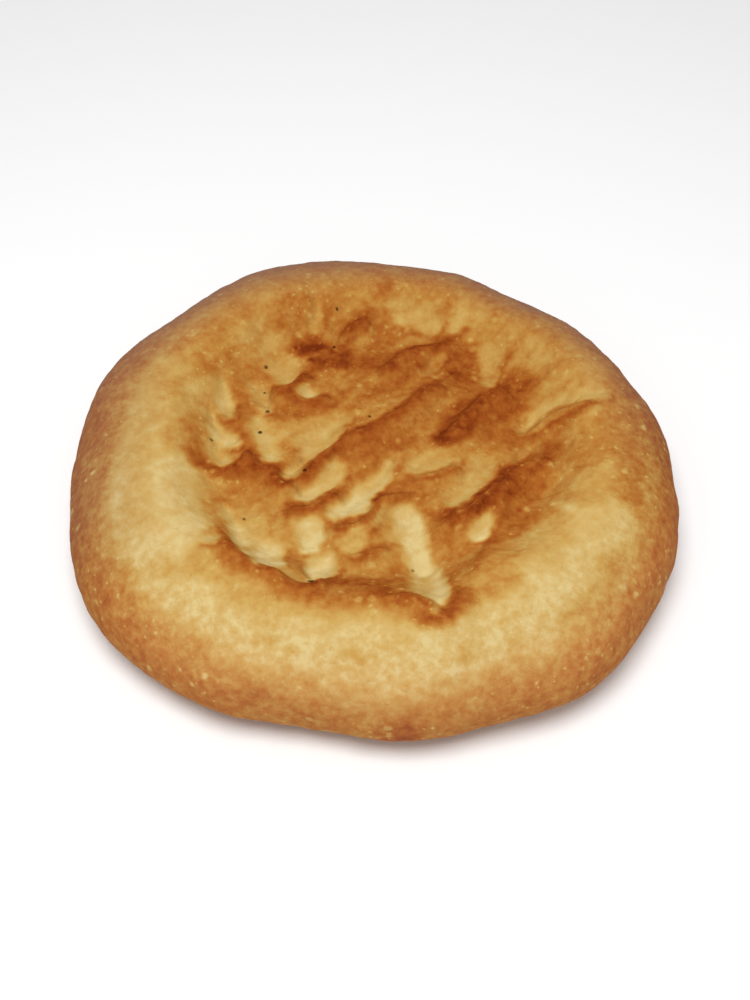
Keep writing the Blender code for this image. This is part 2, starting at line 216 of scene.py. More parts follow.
# Patches of browning: browning, strength, and the middle line as (x, y, half width)
PATCHES = (
    # the rim and the edges of the dish
    (0.30, 0.8, ((-66, 52, 12), (-54, 60, 10), (-44, 62, 7))),
    (0.27, 0.8, ((-76, 40, 8), (-78, 20, 8), (-78, 0, 7))),
    (0.44, 0.8, ((-56, 68, 5), (-50, 69, 4))),
    (0.42, 0.8, ((-50, 84, 8), (-20, 88, 8), (20, 88, 8), (56, 76, 8))),
    (0.62, 0.8, ((2, 84, 3), (6, 84, 4), (9, 83, 3))),
    (0.24, 0.8, ((-86, 18, 6), (-87, -5, 5), (-87, -25, 5), (-84, -46, 6))),
    (0.48, 0.8, ((-80, 66, 5), (-90, 50, 6), (-97, 34, 5))),
    (0.34, 0.8, ((-86, 30, 5), (-80, 24, 4))),
    (0.46, 0.8, ((-58, 62, 4), (-71, 51, 5), (-82, 40, 4))),
    (0.46, 0.7, ((-98, 20, 3), (-101, 0, 4), (-102, -20, 4), (-101, -38, 3))),
    (0.68, 0.7, ((100, 40, 4), (106, 24, 4), (109, 8, 3))),
    (0.52, 0.8, ((97, 26, 6), (100, 6, 7), (99, -14, 7), (96, -34, 6))),
    (0.44, 0.8, ((88, 24, 6), (92, 8, 7), (92, -10, 7))),
    (0.50, 0.8, ((4, 98, 6), (28, 94, 7), (50, 85, 6), (66, 70, 5))),
    (0.28, 0.7, ((-50, -79, 4), (-30, -84, 4), (-10, -86, 4), (8, -89, 4))),
    (0.30, 0.8, ((70, -86, 5), (80, -76, 5), (88, -60, 5))),
    (0.86, 0.9, ((0, -118.4, 1.4), (8, -118.6, 2), (16, -118.4, 1.4))),
    (0.28, 0.8, ((-7, -101, 2), (-3, -102, 2))),
    (0.46, 0.8, ((-58, 64, 3), (-53, 65, 3))),
    (0.40, 0.6, ((-75, -10, 3), (-77, -2, 3))),
    (0.36, 0.6, ((-96, -58, 4), (-90, -66, 4))),
    (0.34, 0.6, ((-66, -92, 4), (-58, -96, 3))),
    (0.36, 0.6, ((-30, -108, 4), (-22, -109, 3))),
    (0.38, 0.6, ((44, -106, 4), (52, -102, 3))),
    (0.26, 0.6, ((-40, -92, 3), (-34, -94, 2))),
    (0.24, 0.6, ((30, -100, 3), (36, -99, 2))),
    (0.30, 0.8, ((56, 58, 6), (64, 50, 6), (70, 44, 5))),
    (0.44, 0.8, ((58, 52, 3), (62, 49, 3))),
    (0.46, 0.8, ((72, 56, 5), (76, 50, 5))),
    (0.34, 0.8, ((70, 26, 8), (84, 24, 8))),
    (0.42, 0.8, ((78, 0, 7), (86, -8, 8), (78, -12, 7))),
    (0.32, 0.8, ((74, -24, 8), (84, -30, 9))),
    (0.24, 0.8, ((60, -50, 9), (66, -60, 9))),
    # the next three: pale streaks on the near rim that are painted highlights, of sheen on the rim and on
    # the brow's crest
    (0.08, 0.8, ((60, -78, 5), (70, -70, 5), (73, -62, 4))),
    (0.11, 0.7, ((24, -92, 4), (34, -90, 4), (48, -82, 4))),
    (0.07, 0.8, ((-71, -28, 3), (-69, -38, 4), (-65, -46, 4))),
    (0.28, 0.6, ((-75, -65, 4), (-72, -65, 4))),
    # brown ground of the dish
    (0.50, 0.8, ((-68, 38, 4), (-60, 42, 5), (-52, 38, 5))),
    (0.56, 0.8, ((-47, 44, 4), (-44, 43, 4))),
    (0.58, 0.8, ((-38, 66, 4), (-33, 71, 6), (-29, 75, 4))),
    (0.62, 0.8, ((-19, 75, 4), (-17, 71, 5))),
    (0.54, 0.8, ((2, 70, 8), (4, 60, 7), (-2, 64, 6))),
    (0.72, 0.8, ((-5, 74, 4), (-9, 69, 4), (-11, 63, 4), (-13, 58, 5))),
    (0.68, 0.9, ((-22, 46, 6), (-10, 49, 9), (0, 50, 9))),
    (0.74, 0.8, ((-2, 56, 6), (4, 54, 4))),
    (0.48, 0.9, ((-18, 40, 6), (-8, 38, 7), (0, 41, 5))),
    (0.62, 0.9, ((-40, 30, 5), (-34, 27, 8), (-24, 24, 6), (-16, 25, 4))),
    (0.58, 0.9, ((-55, 34, 3), (-52, 29, 4.5), (-50, 22, 4), (-52, 14, 4), (-49, 8, 4), (-46, 2, 4),
                 (-44, -2, 4))),
    (0.56, 0.9, ((-70, 3, 3.5), (-66, -2, 5), (-64, -6, 6))),
    (0.12, 0.9, ((-72, -17, 7), (-70, -29, 8), (-69, -40, 6))),
    (0.32, 0.7, ((-62, -18, 5), (-60, -28, 4))),
    (0.44, 0.8, ((-54, -15, 6), (-46, -16, 7), (-38, -18, 7))),
    (0.66, 0.9, ((-66, -8, 5), (-58, -8, 5), (-50, -7, 6), (-42, -8, 6), (-36, -12, 5))),
    (0.54, 0.8, ((-34, -31, 4), (-27, -31, 4))),
    (0.66, 0.8, ((-28, -27.5, 3.2), (-25, -26, 3.2), (-20, -24, 3), (-14, -20, 3), (-10, -17, 2.5))),
    (0.62, 0.9, ((-26, -12, 4), (-22, -8, 4), (-15, -3, 5), (-8, 0, 6), (0, 3, 7), (8, 8, 8), (14, 14, 7))),
    (0.62, 0.8, ((-2, -12, 4), (3, -6, 5), (-2, -4, 5))),
    (0.66, 0.8, ((-4, -31, 2), (0, -27, 2.5), (4, -22, 3.5), (12, -20, 4), (18, -19, 3))),
    (0.36, 0.8, ((-18, -40, 6), (-12, -44, 6))),
    (0.30, 0.8, ((-36, -36, 6), (-32, -42, 6))),
    (0.38, 0.7, ((-60, -65, 6), (-50, -68, 7), (-38, -74, 6))),
    (0.60, 0.9, ((-30, -75, 3), (-18, -78, 4), (-4, -79, 5), (8, -81, 5), (18, -85, 5), (27, -84, 4),
                 (34, -80, 4))),
    (0.56, 0.8, ((-56, -38, 2), (-54, -44, 3), (-52, -52, 4), (-48, -59, 4), (-44, -64, 4))),
    (0.62, 0.9, ((-53, -56, 4), (-47, -62, 5), (-41, -67, 5), (-34, -69, 4))),
    (0.68, 0.9, ((-32, -72, 4), (-26, -75, 4), (-20, -74, 5), (-17, -68, 5), (-14, -63, 4))),
    (0.74, 0.9, ((-12, -66, 6), (-4, -66, 7), (2, -66, 7), (4, -74, 6))),
    (0.48, 0.8, ((-27, -49, 3.5), (-28, -56, 4.5), (-26, -63, 4))),
    (0.42, 0.8, ((-60, -57, 2.5), (-56, -57, 2.5))),
    (0.62, 0.8, ((0, -47, 2.5), (-6, -48, 2))),
    (0.42, 0.8, ((2, -56, 6), (-4, -54, 6))),
    (0.54, 0.8, ((8, -54, 3), (8, -64, 4), (10, -72, 4))),
    (0.68, 0.8, ((8, 50, 4), (12, 54, 4), (18, 58, 4), (24, 58, 3))),
    (0.72, 0.9, ((12, 46, 7), (16, 50, 7))),
    (0.70, 0.9, ((32, 58, 5), (36, 55, 7), (40, 50, 6), (42, 44, 5))),
    (0.66, 0.8, ((31, 60, 3), (28, 62, 3))),
    (0.62, 0.9, ((22, 34, 5), (30, 38, 6), (38, 38, 5))),
    (0.54, 0.8, ((-10, 29, 5), (-2, 31, 5))),
    (0.64, 0.8, ((0, 33, 4), (8, 37, 5), (15, 42, 5))),
    (0.52, 0.8, ((20, 24, 5), (27, 28, 5), (34, 34, 4))),
    (0.56, 0.8, ((10, 18, 6), (18, 22, 6))),
    (0.74, 0.9, ((30, 10, 5), (36, 16, 8), (43, 22, 9), (52, 28, 10), (58, 34, 8))),
    (0.64, 0.9, ((44, 12, 6), (52, 10, 6), (56, 14, 5))),
    (0.66, 0.8, ((30, 7, 4), (36, 8, 4))),
    (0.66, 0.9, ((60, 11, 3), (67, 14, 4), (73, 14, 4), (82, 12, 3.5))),
    (0.52, 0.8, ((68, 6, 5), (64, 6, 4))),
    (0.62, 0.8, ((56, -24, 7), (62, -20, 6))),
    (0.60, 0.8, ((52, -32, 6), (58, -34, 6), (50, -40, 5))),
    (0.66, 0.9, ((54, -16, 6), (60, -12, 6), (66, -8, 6), (72, -6, 5))),
    (0.46, 0.8, ((74, -10, 5), (80, -14, 5))),
    (0.42, 0.8, ((70, -24, 4), (68, -34, 4))),
    (0.52, 0.8, ((24, -36, 4), (22, -40, 4))),
    (0.46, 0.8, ((30, -36, 5), (32, -44, 6))),
    (0.48, 0.8, ((30, -52, 6), (34, -60, 6), (32, -70, 6))),
    (0.42, 0.8, ((44, -62, 6), (48, -70, 6), (40, -76, 5))),
    (0.56, 0.8, ((28, -56, 2.5), (28, -66, 3), (29, -76, 3))),
    (0.62, 0.8, ((22, -30, 2), (28, -31, 2.5), (36, -29, 2.5))),
    # darkest
    (0.96, 0.9, ((-36, 56, 2), (-31, 58, 3.5), (-26, 59.5, 3.5), (-22, 60, 2))),
    (0.97, 0.9, ((-26, 52, 1.5), (-22, 51, 2.6), (-18, 51, 2))),
    (0.86, 0.9, ((-16, 60, 4), (-14, 55, 6), (-17, 51, 5))),
    (0.82, 0.8, ((-36, 34, 2.5), (-33, 35, 2))),
    (0.72, 0.8, ((-31, 27, 3), (-25, 27, 3), (-19, 28, 3))),
    (0.80, 0.8, ((9, 51, 3), (11, 47, 3))),
    (0.95, 0.8, ((33, 47, 2.5), (35, 45, 3), (34, 43, 3))),
    (0.76, 0.8, ((40, 42, 5), (44, 44, 4))),
    (0.88, 0.9, ((30, 9, 4), (34, 14, 5), (37, 18, 5), (38, 23, 4))),
    (0.78, 0.8, ((-46, 0, 3), (-44, -4, 3))),
    (0.92, 0.9, ((-36, -9, 2.5), (-34, -13, 2.5))),
    (0.80, 0.9, ((56, -8, 3), (62, -3, 4), (67, 0, 4), (71, -1, 3))),
    (0.74, 0.8, ((50, -14, 3), (44, -20, 3), (38, -26, 3))),
    (0.74, 0.8, ((46, -37, 3), (44, -44, 2.5), (43, -47, 1.5))),
    (0.86, 0.8, ((13, -78.5, 2), (17, -79, 2))),
    (0.74, 0.8, ((22, -84.5, 1.5), (26, -84, 1.5))),
    # lighter places on the brown
    (0.40, 0.8, ((-6, 60, 3), (-5, 63, 3))),
    (0.42, 0.8, ((-18, 45, 3), (-15, 44, 3))),
)

# A patch's soft edge: 1 mm and a share of its half width, and at most PATCH_EDGE
PATCH_EDGE = 8.0
PATCH_EDGE_SHARE = 1.6

# Where the dough was pricked before baking: place, hole radius and how dark the painted shade in it shows
PRICKS = (
    (-44, 47, 0.7, 0.9),
    (-44, 33.5, 0.5, 1.0),
    (-42, 23, 0.6, 0.7),
    (-44.3, 11.7, 0.55, 1.0),
    (-63, 5.5, 0.6, 0.7),
    (-1, 19, 0.5, 0.9),
    (-15, 76, 0.5, 1.0),
    (-16, 60.5, 0.5, 1.0),
    (-26, -8.5, 0.55, 1.0),
    (-48, -32, 0.6, 0.7),
    (-21.5, -69.5, 0.7, 1.0),
    (15, -56, 0.5, 0.8),
)
PRICK_DEPTH = 1.6

# The crust within PRICK_ROUND of a prick is cut finer. The hole ends at HOLE_REACH times its radius, and
# the painted shade in and round it, a dark ring, at the last of the reaches below times its radius.
PRICK_ROUND = 2.6
PRICK_CUTS = 2
HOLE_REACH = 1.5
HOLE_SHADE_REACH = 1.8

# How unevenly the skin swells: name, size of the swellings and their height
SKIN_WAVES = (
    ("swell", 34.0, 2.4),
    ("ripple", 9.0, 0.9),
    ("pimple", 4.0, 0.4),
)

# How far strokes of relief and of browning stray from their lines, broadly and finely, and over what
# distances; the seed makes every run stray alike
BROAD_SWAY_SIZE = 11.0
FINE_SWAY_SIZE = 3.2
RELIEF_SWAY = (1.4, 0.0)
PAINT_SWAY = (2.0, 0.9)
NOISE_SEED = 5

# Streaks of browning that run with the wrinkles: direction in degrees, length, width and strength
STREAK_ANGLE = 40
STREAK_LENGTH = 13.0
STREAK_WIDTH = 4.2
STREAK_STRENGTH = 0.11

# Browning before any patch: what the top has at its near left and gains towards its far right, the gain
# being browning and painted shade, and what the dish, the sides and the underside have
PALE_BROWN = 0.09
FAR_BROWN_AND_SHADE = 0.32
DISH_BROWN = 0.44
SIDE_BROWN = 0.60
UNDERSIDE_BROWN = 0.50
DISH_MIDDLE = (4, -2)
DISH_RADIUS = 88
DISH_FADE = 22
SIDE_START = 98
SIDE_WIDTH = 20

# Radii before pulling at which the painted grazing sheen, the flush with its painted front light and the
# outer crust start, and how far each takes to come in
GRAZING_SHEEN_RISE = (80, 30)
BLUSH_AND_LIGHT_RISE = (102, 14)
OUTER_RISE = (86, 24)

# The photograph's framing
CAMERA_PLACE = (0.0012, -0.3343, 0.4163)
CAMERA_AIM = (0.0012, -0.0139, 0.018)
CAMERA_LENS = 46.6
CAMERA_SENSOR = 36.0

# The floor and the lights
FLOOR_SIZE = 8.0
FLOOR_GAP = 0.0002
FLOOR_COLOUR = (0.86, 0.86, 0.86)
SKY_STRENGTH = 0.55
LIGHT_PLACE = (-0.06, -0.24, 0.90)
LIGHT_SIZE = 0.5
LIGHT_POWER = 7.0


def smooth(amount):
    """A soft step: 0 below 0, 1 above 1, and a smooth rise between."""
    amount = np.clip(amount, 0.0, 1.0)
    return amount * amount * (3.0 - 2.0 * amount)


def rising(value, start, width):
    """0 up to the start, then a smooth rise to 1 over the width."""
    return smooth((value - start) / width)


def steps(count):
    return [(i + 1) / count for i in range(count)]


def section():
    """The half section as (radius, height) points, from under the middle round to the dish's middle."""
    points = [(0.0, 0.0)]
    for share in steps(UNDERSIDE_RINGS):
        points.append((UNDERSIDE_RADIUS * share, 0.0))
    for share in steps(LOWER_BULGE_RINGS):
        turn = share * math.pi / 2
        out = (RADIUS - UNDERSIDE_RADIUS) * math.sin(turn)
        points.append((UNDERSIDE_RADIUS + out, WIDEST_HEIGHT * (1 - math.cos(turn))))
    for share in steps(UPPER_BULGE_RINGS):
        turn = share * math.pi / 2
        back = (RADIUS - CREST_RADIUS) * (1 - math.cos(turn))
        rise = (RIM_HEIGHT - WIDEST_HEIGHT) * math.sin(turn)
        points.append((RADIUS - back, WIDEST_HEIGHT + rise))
    for share in steps(WALL_RINGS):
        radius = CREST_RADIUS + (FOOT_RADIUS - CREST_RADIUS) * share
        drop = (RIM_HEIGHT - FLOOR_HEIGHT) * float(smooth(share))
        points.append((radius, RIM_HEIGHT - drop))
    for share in steps(FLOOR_RINGS):
        radius = FOOT_RADIUS * (1 - share)
        points.append((radius, FLOOR_HEIGHT + FLOOR_CROWN * float(smooth(share))))
    return points


def points_of(piece):
    """The piece's points in millimetres."""
    flat = np.empty(len(piece.data.vertices) * 3)
    piece.data.vertices.foreach_get("co", flat)
    return flat.reshape(-1, 3) / MM


def only(piece):
    bpy.ops.object.select_all(action="DESELECT")
    piece.select_set(True)
    bpy.context.view_layer.objects.active = piece


def select_vertices(piece, chosen):
    """Leaves just these vertices selected, for the next edit-mode operator."""
    piece.data.polygons.foreach_set("select", np.zeros(len(piece.data.polygons), bool))
    piece.data.edges.foreach_set("select", np.zeros(len(piece.data.edges), bool))
    piece.data.vertices.foreach_set("select", np.asarray(chosen, bool))


def turned_loaf():
    """Draws the half section from one vertex by extrusion, and spins it round the Z axis."""
    bpy.ops.object.select_all(action="DESELECT")
    bpy.ops.mesh.primitive_plane_add(size=0.01, location=(0, 0, 0))
    loaf = bpy.context.active_object
    loaf.name = "bread_crust"
    loaf.data.name = "bread_crust"
    bpy.ops.object.mode_set(mode="EDIT")
    bpy.ops.mesh.select_mode(type="VERT")
    bpy.ops.mesh.select_all(action="SELECT")
    bpy.ops.mesh.merge(type="CENTER")
    outline = section()
    for (r0, z0), (r1, z1) in zip(outline, outline[1:]):
        move = ((r1 - r0) * MM, 0.0, (z1 - z0) * MM)
        bpy.ops.mesh.extrude_region_move(TRANSFORM_OT_translate={"value": move})
    bpy.ops.mesh.select_all(action="SELECT")
    bpy.ops.mesh.spin(steps=SIDES, angle=2 * math.pi, center=(0, 0, 0), axis=(0, 0, 1))
    bpy.ops.mesh.select_all(action="SELECT")
    bpy.ops.mesh.remove_doubles(threshold=MERGE_DISTANCE)
    bpy.ops.mesh.normals_make_consistent(inside=False)
    bpy.ops.object.mode_set(mode="OBJECT")
    return loaf


def pull(piece, place, move, reach):
    """Grabs the crust at its nearest point to a place and moves it, with a smooth falloff."""
    distance = np.linalg.norm(points_of(piece) - np.array(place), axis=1)
    select_vertices(piece, distance <= distance.min() + 0.01)
    bpy.ops.object.mode_set(mode="EDIT")
    bpy.ops.transform.translate(
        value=Vector(move) * MM,
        use_proportional_edit=True,
        proportional_edit_falloff="SMOOTH",
        proportional_size=reach * MM,
    )
    bpy.ops.object.mode_set(mode="OBJECT")


def pull_out_of_round(loaf):
    """Gives the round loaf its own outline and an uneven rim."""
    for angle, stand_out in OUTLINE_PULLS:
        turn = math.radians(angle)
        outward = Vector((math.cos(turn), math.sin(turn), 0.0))
        pull(loaf, outward * RADIUS + Vector((0, 0, WIDEST_HEIGHT)), outward * stand_out, OUTLINE_REACH)
    for place, move, reach in BROAD_PULLS:
        pull(loaf, place, move, reach)


def flatten_underside(loaf):
    """Presses what the pulls have pushed below the floor flat onto it."""
    select_vertices(loaf, points_of(loaf)[:, 2] < 0)
    bpy.ops.object.mode_set(mode="EDIT")
    bpy.ops.transform.resize(value=(1, 1, 0), center_override=(0, 0, 0))
    bpy.ops.object.mode_set(mode="OBJECT")


def pull_dish_up(loaf):
    """Pulls the dish's floor up towards its walls."""
    for place, move, reach in DISH_PULLS:
        pull(loaf, place, move, reach)


def curve_through(points):
    """A smooth curve through the points, as rows about 1 mm apart."""
    points = np.array(points, float)
    before = 2 * points[0] - points[min(1, len(points) - 1)]
    after = 2 * points[-1] - points[max(-2, -len(points))]
    knots = np.vstack([before, points, after])
    rows = []
    for a, b, c, d in zip(knots, knots[1:], knots[2:], knots[3:]):
        count = max(2, int(np.linalg.norm((c - b)[:2])) + 1)
        share = np.arange(count)[:, None] / count
        rows.append(
            0.5 * (2 * b + (c - a) * share + (2 * a - 5 * b + 4 * c - d) * share**2
                   + (3 * b - 3 * c + d - a) * share**3)
        )
    rows.append(points[-1:])
    return np.vstack(rows)


def near_curve(places, curve, reach):
    """The places within reach of the curve's box, and their distances to each of the curve's rows."""
    low = curve[:, :2].min(axis=0) - reach
    high = curve[:, :2].max(axis=0) + reach
    found = np.flatnonzero(((places > low) & (places < high)).all(axis=1))
    offset = places[found][:, None, :] - curve[None, :, :2]
    return found, np.linalg.norm(offset, axis=2)


def spot_weight(places, line):
    """1 inside a spot, falling to 0 outside it, over an edge that is narrower for a narrow spot."""
    curve = curve_through(line)
    edge = min(PATCH_EDGE, 1 + PATCH_EDGE_SHARE * curve[:, 2].mean())
    weight = np.zeros(len(places))
    found, distance = near_curve(places, curve, curve[:, 2].max() + edge)
    weight[found] = smooth(0.5 + (curve[None, :, 2] - distance).max(axis=1) / edge)
    return weight


def pocket_weights(places, line):
    """For each place, how far it is inside a pocket's pale floor, far off along it, and on its lip.

    The far edge of a pocket fades softly, and its near edge is crisp against the brown lip.
    """
    curve = curve_through(line)
    inside, far_share, lip = np.zeros((3, len(places)))
    found, distance = near_curve(places, curve, curve[:, 2].max() + SOFT_EDGE)
    depth = curve[None, :, 2] - distance
    nearest = depth.argmax(axis=1)
    depth = depth.max(axis=1)
    outward = places[found] - curve[nearest, :2]
    facing = outward @ CRISP_SIDE / (np.linalg.norm(outward, axis=1) + 0.5)
    edge = SOFT_EDGE + (CRISP_EDGE - SOFT_EDGE) * (0.5 + 0.5 * facing)
    inside[found] = smooth(0.5 + depth / edge)
    lip[found] = smooth(1 - np.abs(depth + LIP_WIDTH) / LIP_WIDTH) * smooth(facing)
    nearest_end = (curve[:, 1] - curve[:, 2]).min()
    farthest_end = (curve[:, 1] + curve[:, 2]).max()
    far_share[found] = np.clip((places[found, 1] - nearest_end) / (farthest_end - nearest_end), 0, 1)
    return inside, far_share, lip


def bowl_weight(places, line):
    """1 along the middle of a pocket, falling to 0 at its edge."""
    curve = curve_through(line)
    weight = np.zeros(len(places))
    found, distance = near_curve(places, curve, curve[:, 2].max() * POCKET_SPREAD)
    weight[found] = smooth((1 - distance / (curve[None, :, 2] * POCKET_SPREAD)).max(axis=1))
    return weight


def tapered(curve):
    """1 along the middle of a curve, falling to 0 at its two ends, for each of its rows."""
    length = np.concatenate([[0.0], np.cumsum(np.linalg.norm(np.diff(curve, axis=0), axis=1))])
    share = length / length[-1]
    return smooth(share / FOLD_TAPER) * smooth((1 - share) / FOLD_TAPER)


def fold_weight(places, crest, far_face, near_slope):
    """1 on the crest of a fold, falling to 0 over its far face, its near slope and its two ends."""
    curve = curve_through(crest)
    ahead = np.gradient(curve, axis=0)
    weight = np.zeros(len(places))
    found, distance = near_curve(places, curve, max(far_face, near_slope))
    nearest = distance.argmin(axis=1)
    offset = places[found] - curve[nearest]
    side = offset[:, 0] * ahead[nearest, 1] - offset[:, 1] * ahead[nearest, 0]
    width = np.where(side < 0, far_face, near_slope)
    weight[found] = tapered(curve)[nearest] * smooth(1 - distance.min(axis=1) / width)
    return weight


def crease_weight(places, crest):
    """1 along the crest of a fold and a little beyond it, in a thin line that fades at its ends."""
    curve = curve_through(crest)
    weight = np.zeros(len(places))
    found, distance = near_curve(places, curve, 2 * CREASE_WIDTH)
    nearest = distance.argmin(axis=1)
    weight[found] = tapered(curve)[nearest] * smooth(CREASE_REACH - distance.min(axis=1) / CREASE_WIDTH)
    return weight


def shifted(line, by):
    """The line moved along Y."""
    return [(x, y + by, *rest) for x, y, *rest in line]


def wander(points, broad, fine):
    """Moves each place a little sideways, so that no edge drawn through the places is ruled."""
    moved = points[:, :2].copy()
    for index, point in enumerate(points):
        place = Vector(point)
        sway = broad * noise.noise_vector(place / BROAD_SWAY_SIZE)
        sway += fine * noise.noise_vector(place / FINE_SWAY_SIZE)
        moved[index] += sway[:2]
    return moved


def streaks(points):
    """Uneven browning in streaks that run with the wrinkles."""
    turn = math.radians(STREAK_ANGLE)
    along = (points[:, 0] * math.cos(turn) + points[:, 1] * math.sin(turn)) / STREAK_LENGTH
    across = (points[:, 1] * math.cos(turn) - points[:, 0] * math.sin(turn)) / STREAK_WIDTH
    return np.array([noise.noise(Vector((a, c, 0.0))) for a, c in zip(along, across)])


def displace(piece, weight, strength, direction="Z", texture=None, middle=0.0):
    """Moves the crust by a strength times a painted weight, with a Displace modifier that is applied."""
    group = piece.vertex_groups.new(name="painted")
    for index in np.flatnonzero(weight > 0.002):
        group.add([int(index)], float(weight[index]), "REPLACE")
    modifier = piece.modifiers.new("displaced", "DISPLACE")
    modifier.vertex_group = "painted"
    modifier.direction = direction
    modifier.strength = strength * MM
    modifier.mid_level = middle
    if texture:
        modifier.texture = texture
        modifier.texture_coords = "LOCAL"
    only(piece)
    bpy.ops.object.modifier_apply(modifier="displaced")
    piece.vertex_groups.remove(piece.vertex_groups["painted"])


def clouds(name, size):
    texture = bpy.data.textures.new(name, "CLOUDS")
    texture.noise_scale = size * MM
    texture.noise_depth = 2
    return texture


def wrinkle(loaf):
    """Raises the folds and presses the pockets in, each as one stroke."""
    points = points_of(loaf)
    top = points[:, 2] > MIDDLE_HEIGHT
    seen = seen_places(points, values(loaf, "level"))
    places = wander(np.column_stack([seen, points[:, 2]]), *RELIEF_SWAY)
    for height, far_face, near_slope, _, crest in FOLDS:
        weight = top * fold_weight(places, shifted(crest, -SLANT * height), far_face, near_slope)
        displace(loaf, weight, height)
    for depth, _, line in POCKETS:
        displace(loaf, top * bowl_weight(places, shifted(line, SLANT * depth)), -POCKET_PRESS * depth)


def roughen(loaf):
    """Swells and ripples the crust, but leaves the underside flat."""
    points = points_of(loaf)
    baked = smooth(points[:, 2] / 10.0)
    for name, size, height in SKIN_WAVES:
        displace(loaf, baked, height, "NORMAL", clouds(name, size), 0.5)


def values(piece, name):
    """The numbers of one attribute, one for each vertex."""
    found = np.empty(len(piece.data.vertices), np.float32)
    piece.data.attributes[name].data.foreach_get("value", found)
    return found.astype(float)


def keep(piece, name, numbers):
    """Writes one number for each vertex into an attribute, which later cuts share out to new vertices."""
    attribute = piece.data.attributes.new(name, "FLOAT", "POINT")
    attribute.data.foreach_set("value", numbers.astype(np.float32))


def drawn_lower(turned_radius):
    """How much lower the tables take the dish to be than it is."""
    inward = (CREST_RADIUS - turned_radius) / (CREST_RADIUS - FOOT_RADIUS)
    return (FLOOR_HEIGHT - DRAWN_FLOOR) * smooth(inward)


def seen_places(points, level):
    """Where each point shows in the plan, were the crust level."""
    return np.column_stack([points[:, 0], points[:, 1] + SLANT * (points[:, 2] - level)])


def away_on_top(loaf, place):
    """How far each point shows from a place; the lower half of the loaf counts as far away."""
    points = points_of(loaf)
    away = np.linalg.norm(seen_places(points, values(loaf, "level")) - place, axis=1)
    return away + np.where(points[:, 2] > MIDDLE_HEIGHT, 0, RADIUS)


def prick(loaf):
    """Cuts the crust finer round each prick and pushes a small hole in."""
    for x, y, radius, _ in PRICKS:
        select_vertices(loaf, away_on_top(loaf, (x, y)) < PRICK_ROUND)
        bpy.ops.object.mode_set(mode="EDIT")
        bpy.ops.mesh.select_mode(type="VERT")
        bpy.ops.mesh.subdivide(number_cuts=PRICK_CUTS)
        bpy.ops.object.mode_set(mode="OBJECT")
        displace(loaf, smooth(HOLE_REACH - away_on_top(loaf, (x, y)) / radius), -PRICK_DEPTH)


def ground_tone(points, turned_radius):
    """Browning before any patch: a pale rim, a baked dish, and sides that brown towards the floor."""
    x, y = points[:, 0], points[:, 1]
    far, near = smooth(y / 90), smooth(-y / 90)
    # the top browns and darkens towards its far right, with painted shade
    tone = PALE_BROWN + FAR_BROWN_AND_SHADE * np.clip((y + 45 + 0.3 * x) / 140, 0, 1)
    from_middle = np.hypot(x - DISH_MIDDLE[0], y - DISH_MIDDLE[1])
    tone += (DISH_BROWN - tone) * smooth((DISH_RADIUS - from_middle) / DISH_FADE)
    # the sides are paler towards the near side, as painted light from the front
    side = SIDE_BROWN - 0.06 * far - 0.10 * near
    side_start = SIDE_START - 0.10 * y - 0.03 * np.abs(x)
    tone += (side - tone) * rising(turned_radius, side_start, SIDE_WIDTH - 7 * near)
    return tone


def browning_and_light_tone(points, places, turned_radius):
    """Browning with every patch, fold and pocket, from 0 for pale dough to 1 for the darkest brown, with
    painted highlights and painted shade among them.
    """
    tone = ground_tone(points, turned_radius)
    for brown, strength, line in PATCHES:
        tone += (brown - tone) * strength * spot_weight(places, line)
    for _, far_face, near_slope, brown, crest in FOLDS:
        weight = fold_weight(places, crest, far_face * SHADE_REACH, near_slope * SHADE_REACH)
        tone += (brown - tone) * FOLD_STRENGTH * weight
    floors = [(brown, *pocket_weights(places, line)) for _, brown, line in POCKETS]
    # the lip: browning of the fold beside a pocket, and a painted shadow line along its near edge
    for (depth, _, _), (_, _, _, lip) in zip(POCKETS, floors):
        tone += (LIP_BROWN_AND_SHADE - tone) * LIP_STRENGTH * min(max(depth, 0), 1) * lip
    for brown, inside, far_share, _ in floors:
        # a painted highlight at the floor's near end, fading to painted shade at its far end
        floor = brown + FAR_END_SHADE * (far_share - FAR_MIDDLE)
        tone += (floor - tone) * POCKET_STRENGTH * inside
    # the crease line: browning of the crest, and painted shade in the crease on its far face
    for height, _, _, brown, crest in FOLDS:
        strength = CREASE_STRENGTH * min(height / CREASE_FULL_HEIGHT, 1)
        tone += (max(brown, CREASE_BROWN_AND_SHADE) - tone) * strength * crease_weight(places, crest)
    return tone


def grazing_sheen(points, turned_radius):
    """Where a painted sheen of grazing reflection greys the crust: the outer edge of the rim, and most of
    all on the far side.
    """
    x, y = points[:, 0], points[:, 1]
    outer = rising(turned_radius, *GRAZING_SHEEN_RISE) * (0.3 + 0.7 * rising(points[:, 2], 14, 20))
    return outer * (0.04 + 0.26 * rising(y - 0.25 * x, -60, 60) + 0.42 * rising(y, 0, 85))


def blush_and_front_light(points, turned_radius):
    """Where the crust is flushed a warmer brown and lighter, as painted light from the front: the near outer
    side.
    """
    x, y = points[:, 0], points[:, 1]
    return rising(turned_radius, *BLUSH_AND_LIGHT_RISE) * rising(0.2 * x - y, 20, 60)


def underside_tone(points):
    """The underside browned where it touched the oven floor, in blotches."""
    blotches = np.array([noise.noise(Vector(point) / 26.0) for point in points])
    spots = np.array([noise.noise(Vector(point) / 7.0) for point in points])
    return UNDERSIDE_BROWN + 0.35 * blotches + 0.15 * spots


